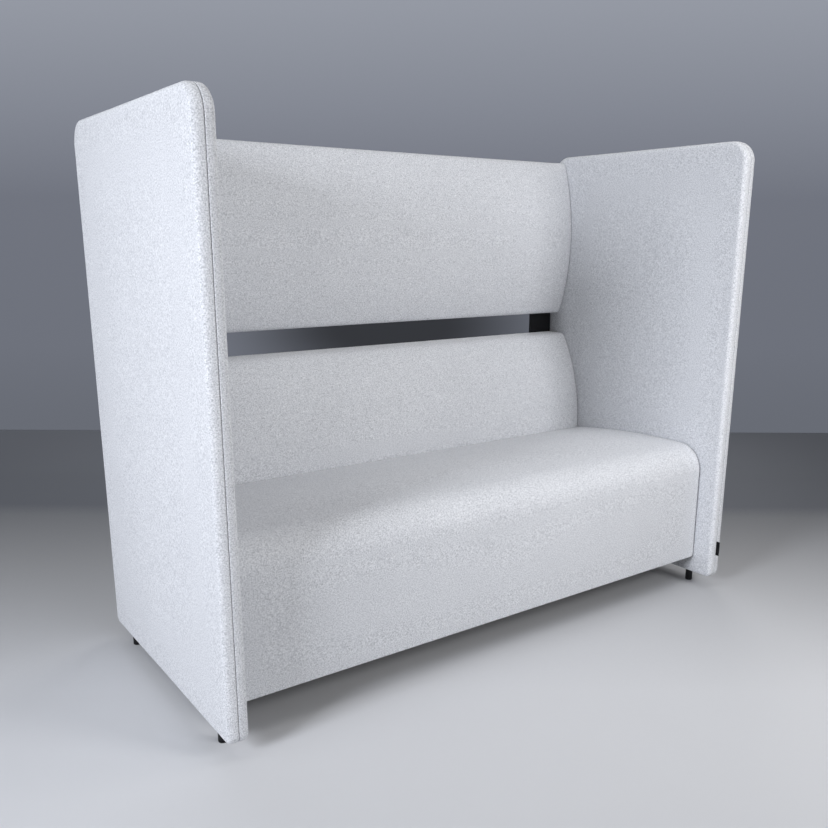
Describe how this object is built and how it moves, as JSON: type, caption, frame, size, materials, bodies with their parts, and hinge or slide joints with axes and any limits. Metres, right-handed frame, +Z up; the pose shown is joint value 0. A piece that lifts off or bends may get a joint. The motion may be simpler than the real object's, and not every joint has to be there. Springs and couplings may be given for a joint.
{
  "type": "three-seat sofa",
  "caption": "High-backed upholstered sofa between two tall side screens, with a bulged lower back, an open slot, a lens-shaped upper back and levelling feet.",
  "frame": {"origin": "on the floor, midway between the side screens and midway between their front and rear edges", "axes": "+X to the right along the sofa's width as seen from the front, +Y to the rear, +Z up"},
  "size_m": [1.7, 0.7973, 1.38],
  "materials": {
    "cover_fabric": "light grey melange woven wool",
    "foam": "polyurethane upholstery foam",
    "plywood": "raw birch plywood",
    "upright_steel": "matt black powder coat",
    "foot_plastic": "matt black",
    "zinc_steel": "zinc plated",
    "webbing": "black elastic webbing",
    "lining_fabric": "black non-woven lining",
    "tab_fabric": "black woven tape"
  },
  "bodies": {
    "sofa": {"screen_left_board": "plywood", "screen_left_foam_inner": "foam", "screen_left_foam_outer": "foam", "screen_left_cover_inner": "cover_fabric", "screen_left_cover_outer": "cover_fabric", "screen_right_board": "plywood", "screen_right_foam_inner": "foam", "screen_right_foam_outer": "foam", "screen_right_cover_inner": "cover_fabric", "screen_right_cover_outer": "cover_fabric", "seam_tab": "tab_fabric", "foot_sleeve_front_left": "zinc_steel", "foot_sleeve_front_right": "zinc_steel", "foot_sleeve_rear_left": "zinc_steel", "foot_sleeve_rear_right": "zinc_steel", "seat_rail_front": "plywood", "seat_rail_rear": "plywood", "seat_rail_left": "plywood", "seat_rail_right": "plywood", "seat_rail_cross_1": "plywood", "seat_rail_cross_2": "plywood", "seat_webbing_1": "webbing", "seat_webbing_2": "webbing", "seat_webbing_3": "webbing", "seat_webbing_4": "webbing", "seat_webbing_5": "webbing", "seat_webbing_6": "webbing", "seat_foam_top": "foam", "seat_foam_front": "foam", "seat_cover": "cover_fabric", "seat_lining": "lining_fabric", "lower_back_board": "plywood", "lower_back_foam": "foam", "lower_back_cover": "cover_fabric", "upper_back_board": "plywood", "upper_back_foam": "foam", "upper_back_cover": "cover_fabric", "upright_left": "upright_steel", "upright_right": "upright_steel", "bolt_seat_front_left": "zinc_steel", "bolt_seat_rear_left": "zinc_steel", "bolt_seat_front_right": "zinc_steel", "bolt_seat_rear_right": "zinc_steel", "bolt_lower_back_left": "zinc_steel", "bolt_lower_back_right": "zinc_steel", "bolt_upper_back_left": "zinc_steel", "bolt_upper_back_right": "zinc_steel", "tee_nut_seat_front_left": "zinc_steel", "tee_nut_seat_rear_left": "zinc_steel", "tee_nut_seat_front_right": "zinc_steel", "tee_nut_seat_rear_right": "zinc_steel", "tee_nut_lower_back_left": "zinc_steel", "tee_nut_lower_back_right": "zinc_steel", "tee_nut_upper_back_left": "zinc_steel", "tee_nut_upper_back_right": "zinc_steel"},
    "front_left_foot": {"foot_front_left": "foot_plastic"},
    "front_right_foot": {"foot_front_right": "foot_plastic"},
    "rear_left_foot": {"foot_rear_left": "foot_plastic"},
    "rear_right_foot": {"foot_rear_right": "foot_plastic"}
  },
  "joints": [
    {"name": "front_left_levelling", "type": "slide", "parent": "sofa", "child": "front_left_foot", "axis": [0, 0, -1], "range_m": [0, 0.01]},
    {"name": "front_right_levelling", "type": "slide", "parent": "sofa", "child": "front_right_foot", "axis": [0, 0, -1], "range_m": [0, 0.01]},
    {"name": "rear_left_levelling", "type": "slide", "parent": "sofa", "child": "rear_left_foot", "axis": [0, 0, -1], "range_m": [0, 0.01]},
    {"name": "rear_right_levelling", "type": "slide", "parent": "sofa", "child": "rear_right_foot", "axis": [0, 0, -1], "range_m": [0, 0.01]}
  ]
}
